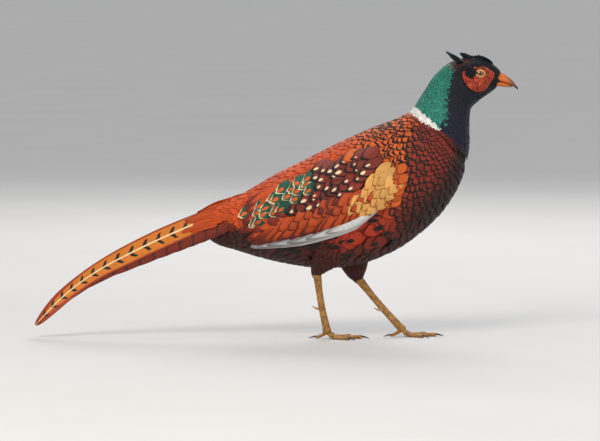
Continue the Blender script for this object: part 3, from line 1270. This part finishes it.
# The head
def make_eyes():
    for side, name in ((-1, "right"), (1, "left")):
        one = np.array([EYE[0]]), np.array([EYE[1]])
        centre, outside = (on_side(*one, np.array([far]), side, HEAD_RANGE)[0] for far in (-EYE_DEPTH, 1.0))
        gaze = unit(outside - centre)
        bm = bmesh.new()
        bmesh.ops.create_uvsphere(bm, u_segments=40, v_segments=28, radius=EYE_RADIUS * MM)
        bmesh.ops.translate(bm, verts=bm.verts, vec=Vector(centre * MM))
        eye = finish_mesh(f"eyeball_{name}", bm, eye_material(centre * MM, gaze))
        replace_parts(eye, f"eye_{name}")
        bm = bmesh.new()

        def lid(t, angle, radial):
            turn = t * 2 * math.pi
            thick = 0.55 + 0.3 * np.maximum(0, np.sin(turn))
            far = 4.75 - 0.35 * np.abs(np.sin(turn)) + thick * np.cos(angle) * 1.2
            # the corners of the lids are drawn out a little ahead of and behind the eye
            corner = 0.9 * np.abs(np.cos(turn)) ** 6
            x, z = EYE[0] + (far * 1.04 + corner) * np.cos(turn), EYE[1] + far * np.sin(turn)
            lift = 1.35 + thick * np.sin(angle) + 0.06 * np.sin(turn * 40)
            return on_side(x, z, lift, side, HEAD_RANGE)

        ring_tube(bm, 12, 96, lid)
        material = bpy.data.materials.get("eyelid_skin") or lid_material()
        finish_mesh(f"eyelids_{name}", bm, material)


def ring_tube(bm, sides, turns, place):
    """Adds a closed ring; place(t, angle, radial) as for a tube, but its two ends meet."""
    made = bmesh.ops.create_grid(bm, x_segments=sides, y_segments=turns, size=1)["verts"]
    grid = np.array([v.co[:2] for v in made])
    points = place((grid[:, 1] + 1) / 2, (grid[:, 0] + 1) * math.pi, np.ones(len(grid))) * MM
    for vertex, point in zip(made, points):
        vertex.co = point
    bmesh.ops.remove_doubles(bm, verts=made, dist=1e-6)
    bmesh.ops.recalc_face_normals(bm, faces=bm.faces)


def make_face():
    material = face_material()
    for side, name in ((-1, "right"), (1, "left")):
        bm = bmesh.new()

        def wattle(t, angle, radial):
            turn = t * 2 * math.pi
            outwards = np.cos(angle)
            share = outwards * 0.5 + 0.5
            far = mix(FACE_HOLE, face_reach(t), share) * (1 + 0.012 * np.sin(turn * 23))
            folds = 1 + 0.1 * np.sin(turn * 7 + share * 4) + 0.05 * np.sin(turn * 19 + share * 9)
            rounded = np.sqrt(np.clip(1 - outwards**2, 0, 1)) ** 0.6
            lift = np.where(np.sin(angle) > 0.02, FACE_RIM + FACE_SWELL * rounded * folds, -1.2)
            return on_side(EYE[0] + far * np.cos(turn), EYE[1] + far * np.sin(turn), lift, side, HEAD_RANGE)

        ring_tube(bm, 48, 144, wattle)
        face = finish_mesh(f"face_skin_{name}", bm, material)
        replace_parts(face, f"face_{name}")


def make_face_feathers():
    """Black velvet feathers in the corner behind each eye, and specks over the cheek."""
    rng = np.random.default_rng(43)
    plume = Plumage(5, 2)
    material = bpy.data.materials["glossy_neck_feather"]
    wedge, _ = lattice(FACE_WEDGE, FACE_HEADING, 1.3, 1.3, rng)
    count = 90
    turn = rng.uniform(0, 2 * math.pi, count)
    far = rng.uniform(0.42, 0.93, count) * face_reach(turn / (2 * math.pi))
    far = np.maximum(far, EYE_RADIUS + 2.2)
    specks = np.stack([EYE[0] + far * np.cos(turn), EYE[1] + far * np.sin(turn)], -1)
    root = np.concatenate([wedge, specks])
    n = len(root)
    size = np.concatenate([np.full(len(wedge), 4.4), rng.uniform(1.2, 2.2, count)])[:, None]
    wide = np.concatenate([np.full(len(wedge), 1.5), np.full(count, 0.5)])[:, None]
    spin = math.radians(FACE_HEADING) + rng.normal(0, 0.15, (n, 1))
    dx, dz = np.cos(spin), np.sin(spin)
    a, b = vane_shape(plume.u[None], plume.v[None], 0.2, 0.7)
    x, z = root[:, :1] + dx * a * size + dz * b * wide, root[:, 1:] + dz * a * size - dx * b * wide
    # the bare skin rises from its rim, and the feathers lie just over it
    rounded = np.sqrt(np.clip(1 - (2 * face_share(x, z) - 1) ** 2, 0, 1)) ** 0.6
    under = FACE_RIM + FACE_SWELL * rounded
    for side in (-1, 1):
        points = on_side(x, z, under + 0.1 + 0.45 * plume.u[None] + 0.15 * plume.face[None], side, HEAD_RANGE)
        rows = [np.broadcast_to(linear(c), (n, 3)) for c in ("#0D0F14", "#10161C", "#0D0F14")]
        marks = np.stack([np.full(n, 0.2), np.zeros(n), np.zeros(n), rng.random(n)], -1)
        plume.add(points, *rows, marks, bake_place(np.full(n, 15.0), np.full(n, -side * 1.4)))
    plume.make("face_feathers", material, "dark_plumage")


def make_bill():
    horn = horn_material("bill_horn", "#C8641A", "#2E160B", 0.313, 0.333, ridge=0.0018)
    bm = bmesh.new()

    def upper(t, angle, radial):
        top, edge = profile(BILL_RIDGE, t), profile(BILL_EDGE, t)
        x = mix(BILL_BASE, BILL_TIP, t)
        half = profile(BILL_HALF, t) * radial * (1 - 0.38 * np.cos(angle))
        z = (top + edge) / 2 + (top - edge) / 2 * radial * np.cos(angle)
        # the nostril is a slit under a swollen flap near the root
        off = z - 355.4 + (x - 309) * 0.42
        slit = np.exp(-(((x - 309.5) / 2.6) ** 2) - (off / 0.7) ** 2)
        flap = np.exp(-(((x - 308.5) / 3.4) ** 2) - ((off - 2.0) / 1.5) ** 2)
        return np.stack([x, (half + (0.9 * flap - 1.9 * slit) * radial) * np.sin(angle), z], -1)

    closed_tube(bm, 56, 60, upper)
    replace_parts(finish_mesh("upper_bill", bm, horn), "bill_upper")
    bm = bmesh.new()

    def lower(t, angle, radial):
        place = t * LOWER_SHARE
        top, keel = profile(BILL_EDGE, place) + 0.3, profile(BILL_UNDER, place)
        half = profile(BILL_HALF, place) * (0.92 - 0.5 * t**3) * radial * (1 + 0.25 * np.cos(angle))
        z = (top + keel) / 2 + (top - keel) / 2 * radial * np.cos(angle)
        return np.stack([mix(BILL_BASE, BILL_TIP, place), half * np.sin(angle), z], -1)

    closed_tube(bm, 30, 34, lower)
    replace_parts(finish_mesh("lower_bill", bm, horn), "bill_lower")


def make_tufts():
    """Pointed ear tufts behind the eyes and the low crest on the hind crown."""
    rng = np.random.default_rng(41)
    plume = Plumage(10, 2)
    material = bpy.data.materials["glossy_neck_feather"]
    u, v = plume.u[None], plume.v[None]
    for side in (-1, 1):
        for count, root, tip, spread, width, y0, y1 in (
            (46, (254, 374), (235.5, 389.5), 4.0, 1.7, 12.5, 15.5),
            (34, (266, 379), (254.0, 388.0), 5.0, 1.5, 3.5, 5.5),
            (60, (282, 379.4), (274.5, 384.6), 17.0, 1.6, 3.0, 3.6),
        ):
            f, g = rng.uniform(-1, 1, count), rng.uniform(-1, 1, count)
            size = rng.uniform(0.55, 1.0, count)
            # the long row follows the crown down to the forehead; the others gather to a tip
            gather = 1.6 if spread < 10 else spread
            fall = 0.0 if spread < 10 else 0.024 * (spread * f) ** 2 * (f > -0.2)
            climb = 1.4 * f * (spread < 10)
            r = np.stack([root[0] + spread * f, y0 + 2.4 * g, root[1] + climb + 0.8 * g - fall], -1)
            e = np.stack([tip[0] + gather * f, y1 + 0.9 * g, tip[1] + 0.8 * g - fall], -1)
            d = (e - r) * size[:, None]
            wide = unit(np.stack([-d[:, 2], np.zeros(count), d[:, 0]], -1))
            bow = np.sin(math.pi * u)[..., None] * wide[:, None] * -1.4
            half = v * width / 2 * np.minimum(1, 0.5 + u) * (1 - 0.85 * u**2.6)
            points = r[:, None] + d[:, None] * u[..., None] + wide[:, None] * half[..., None] + bow
            points[..., 1] += plume.face[None] * 0.2 + 0.15 * (1 - v * v)
            points[..., 1] *= side
            rows = [np.broadcast_to(linear(c), (count, 3)) for c in ("#0E141B", "#17403C", "#0E141B")]
            marks = np.stack([np.full(count, 0.3), np.zeros(count), np.zeros(count), rng.random(count)], -1)
            plume.add(points, *rows, marks, bake_place(np.full(count, 14.5), np.full(count, -side * 0.8)))
    plume.make("head_tufts", material, "dark_plumage")


# The legs
def shank_points(leg):
    hock, joint = np.array(leg["thigh"][-1], float), np.array(leg["joint"], float)
    middle = (hock + joint) / 2 + (-1.5, 0, 0)
    return np.array([hock, middle, joint])


def toe_way(leg, angle):
    turn = math.radians(leg["heading"] - angle * leg["side"])
    return math.cos(turn), math.sin(turn)


def make_legs():
    scaly = leg_material()
    claw_horn = horn_material("claw_horn", "#4A3524", "#2A1C12", -1.0, 1.0)
    spur_horn = horn_material("spur_horn", "#8A6A40", "#B99A68", -1.0, 1.0)
    for name, leg in LEGS.items():
        side = leg["side"]
        bm = bmesh.new()

        def girth(t, angle):
            size = profile(SHANK_GIRTH, t)
            facing = np.maximum(0, -np.cos(angle)) ** 0.5
            scute = 0.07 * (np.mod(t * 17, 1) - 0.3) * facing
            return size * SHANK_FLAT * (1 + scute * 0.3), size * (1 + scute)

        limb(bm, shank_points(leg), 32, 170, girth)
        shank = finish_mesh(f"scaled_shank_{name}", bm, scaly)
        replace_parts(shank, f"shank_{name}")

        bm = bmesh.new()
        claws = bmesh.new()
        jx, jy, jz = leg["joint"]
        around = SHANK_GIRTH[-1] * 1.12 * MM
        knuckle = bmesh.ops.create_uvsphere(bm, u_segments=24, v_segments=16, radius=around)["verts"]
        bmesh.ops.scale(bm, verts=knuckle, vec=(1, 1, 0.9))
        bmesh.ops.translate(bm, verts=knuckle, vec=Vector((jx * MM, jy * MM, (jz + 0.6) * MM)))
        for angle, length, radius in TOES:
            dx, dy = toe_way(leg, angle)
            floor = radius - 0.45

            def at(distance, z):
                return (jx + dx * distance, jy + dy * distance, z)

            points = [at(0, jz - 1.5), at(7, floor + 2.4), at(14, floor), at(length, floor - 0.5)]
            if length < 20:
                points[1:3] = [at(7, floor + 2.6)]

            def toe_girth(t, angle, length=length, radius=radius):
                pad = radius * (1.16 - 0.36 * t) * (1 + 0.1 * np.cos(t * 6 * math.pi))
                facing = np.maximum(0, np.cos(angle)) ** 0.5
                ring = 0.09 * (np.mod(t * length / 3.2, 1) - 0.3) * facing
                return pad, pad * 0.92 * (1 + ring)

            limb(bm, points, 20, int(length * 2.2), toe_girth, (-dy, dx, 0))
            root = min(CLAW_RADIUS, radius * 0.68)
            height = root + 0.25
            start = length - 2.5
            end = at(length + CLAW_LENGTH, CLAW_TIP + 0.25)
            path = [at(start, height + 0.4), at(start + 5.5, height + 0.5), end]

            def claw_girth(t, angle, root=root):
                thick = mix(root, CLAW_TIP, t**1.2)
                return thick * 0.8, thick

            limb(claws, path, 16, 20, claw_girth, (-dy, dx, 0))
        whole = bm.verts[:] + bm.edges[:] + bm.faces[:]
        bmesh.ops.bisect_plane(
            bm, geom=whole, plane_co=(0, 0, SOLE_HEIGHT * MM), plane_no=(0, 0, -1), clear_outer=True
        )
        bmesh.ops.holes_fill(bm, edges=[e for e in bm.edges if e.is_boundary])
        foot = finish_mesh(f"scaled_foot_{name}", bm, scaly)
        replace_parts(foot, f"foot_{name}")
        horn = finish_mesh(f"curved_claws_{name}", claws, claw_horn)
        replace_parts(horn, *[f"claw_{name}_{i}" for i in (1, 2, 3, 4)])

        bm = bmesh.new()
        hock, _, joint = shank_points(leg)
        root = mix(hock, joint, SPUR_SHARE)
        tip = root + (-SPUR_LENGTH - 2, -side * 5, 2.5)
        middle = root + (-SPUR_LENGTH * 0.6, -side * 2.6, -0.8)

        def spur_girth(t, angle):
            thick = mix(SPUR_RADIUS, 0.4, t) * (1 + 0.02 * np.sin(t * 40))
            return thick, thick

        limb(bm, [root, middle, tip], 18, 24, spur_girth)
        spur = finish_mesh(f"leg_spur_{name}", bm, spur_horn)
        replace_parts(spur, f"spur_{name}")


# The studio
def make_stage():
    sizes = bpy.context.scene.pheasant_sizes
    bm = bmesh.new()
    bmesh.ops.create_grid(bm, x_segments=8, y_segments=8, size=FLOOR_REACH)
    bmesh.ops.translate(bm, verts=bm.verts, vec=(0, 0, -FLOOR_DROP))
    mesh = bpy.data.meshes.new("studio_floor")
    bm.to_mesh(mesh)
    bm.free()
    mesh.materials.append(floor_material())
    floor = bpy.data.objects.new("studio_floor", mesh)
    bpy.context.collection.objects.link(floor)

    world = bpy.data.worlds.new("pale_room")
    bpy.context.scene.world = world
    world.use_nodes = True
    feed(world.node_tree.nodes["Background"], {"Color": linear("#E6E7EA"), "Strength": 0.8})

    for name, place, power, size, hue in (
        ("key_light", (-0.9, -2.2, 2.3), 54, 1.2, "#FFF6EA"),
        ("fill_light", (2.2, -1.6, 1.2), 16, 1.8, "#EEF3FF"),
        ("back_light", (0.3, 2.2, 2.0), 34, 1.6, "#FFFFFF"),
    ):
        lamp = bpy.data.lights.new(name, "AREA")
        lamp.energy, lamp.size, lamp.color = power, size, linear(hue)
        made = bpy.data.objects.new(name, lamp)
        made.location = place
        made.rotation_euler = (Vector((0, 0, 0.2)) - Vector(place)).to_track_quat("-Z", "Y").to_euler()
        bpy.context.collection.objects.link(made)

    aim = Vector(PICTURE_CENTRE)
    distance, height = sizes.camera_distance, sizes.camera_height
    camera = bpy.data.cameras.new("studio_camera")
    camera.sensor_width = SENSOR
    camera.lens = SENSOR * distance / (PICTURE_WIDTH * PIXEL * MM)
    camera.clip_end = 300
    made = bpy.data.objects.new("studio_camera", camera)
    made.location = aim + Vector((0, -math.cos(height), math.sin(height))) * distance
    made.rotation_euler = (aim - made.location).to_track_quat("-Z", "Y").to_euler()
    bpy.context.collection.objects.link(made)
    bpy.context.scene.camera = made
    bpy.context.scene.view_settings.view_transform = "Standard"


def piece_operator(idname, label, note, builder):
    """Settings shared by the operators: each makes its pieces once and reports that it did."""

    def execute(self, context):
        builder()
        return {"FINISHED"}

    return type(
        "PHEASANT_OT_" + idname,
        (bpy.types.Operator,),
        {"bl_idname": "pheasant." + idname, "bl_label": label, "__doc__": note, "execute": execute},
    )


OPERATORS = tuple(
    piece_operator(*row)
    for row in (
        ("skin", "Skin", "Makes the one skin of head, neck, body and thighs", make_skin),
        ("coat", "Body feathers", "Lays the body, neck and head feathers", make_coat),
        ("thigh_coat", "Thigh feathers", "Lays the feathers of the thighs", make_thigh_coat),
        ("wings", "Wings", "Lays the tiers of both folded wings", make_wings),
        ("tail", "Tail", "Lays the tail feathers", make_tail),
        ("tail_coverts", "Tail coverts", "Lays loose feathers over the root of the tail", make_tail_coverts),
        ("eyes", "Eyes", "Makes the eyeballs and lids", make_eyes),
        ("face", "Face", "Makes the bare red skin of the face", make_face),
        ("face_feathers", "Face feathers", "Lays the small black feathers of the face", make_face_feathers),
        ("bill", "Bill", "Makes both halves of the bill", make_bill),
        ("tufts", "Head tufts", "Makes the ear tufts and crest", make_tufts),
        ("legs", "Legs", "Makes shanks, feet, claws and spurs", make_legs),
        ("stage", "Studio", "Makes the floor, lights and camera", make_stage),
    )
)


class PHEASANT_PT_panel(bpy.types.Panel):
    """Lists the bird's sizes and the operators that make its pieces."""

    bl_label = "Common pheasant"
    bl_idname = "PHEASANT_PT_panel"
    bl_space_type = "VIEW_3D"
    bl_region_type = "UI"
    bl_category = "Pheasant"

    def draw(self, context):
        for group in (context.scene.pheasant_sizes, context.scene.pheasant_colours):
            for key in group.bl_rna.properties.keys():
                if key not in ("rna_type", "name"):
                    self.layout.prop(group, key)
        for operator in OPERATORS:
            self.layout.operator(operator.bl_idname)


CLASSES = (PheasantSizes, PheasantColours, *OPERATORS, PHEASANT_PT_panel)


def register():
    for made in CLASSES:
        bpy.utils.register_class(made)
    bpy.types.Scene.pheasant_sizes = bpy.props.PointerProperty(type=PheasantSizes)
    bpy.types.Scene.pheasant_colours = bpy.props.PointerProperty(type=PheasantColours)


def unregister():
    del bpy.types.Scene.pheasant_sizes
    del bpy.types.Scene.pheasant_colours
    for made in reversed(CLASSES):
        bpy.utils.unregister_class(made)


def main():
    register()
    for operator in OPERATORS:
        group, name = operator.bl_idname.split(".")
        getattr(getattr(bpy.ops, group), name)()


if __name__ == "__main__":
    main()
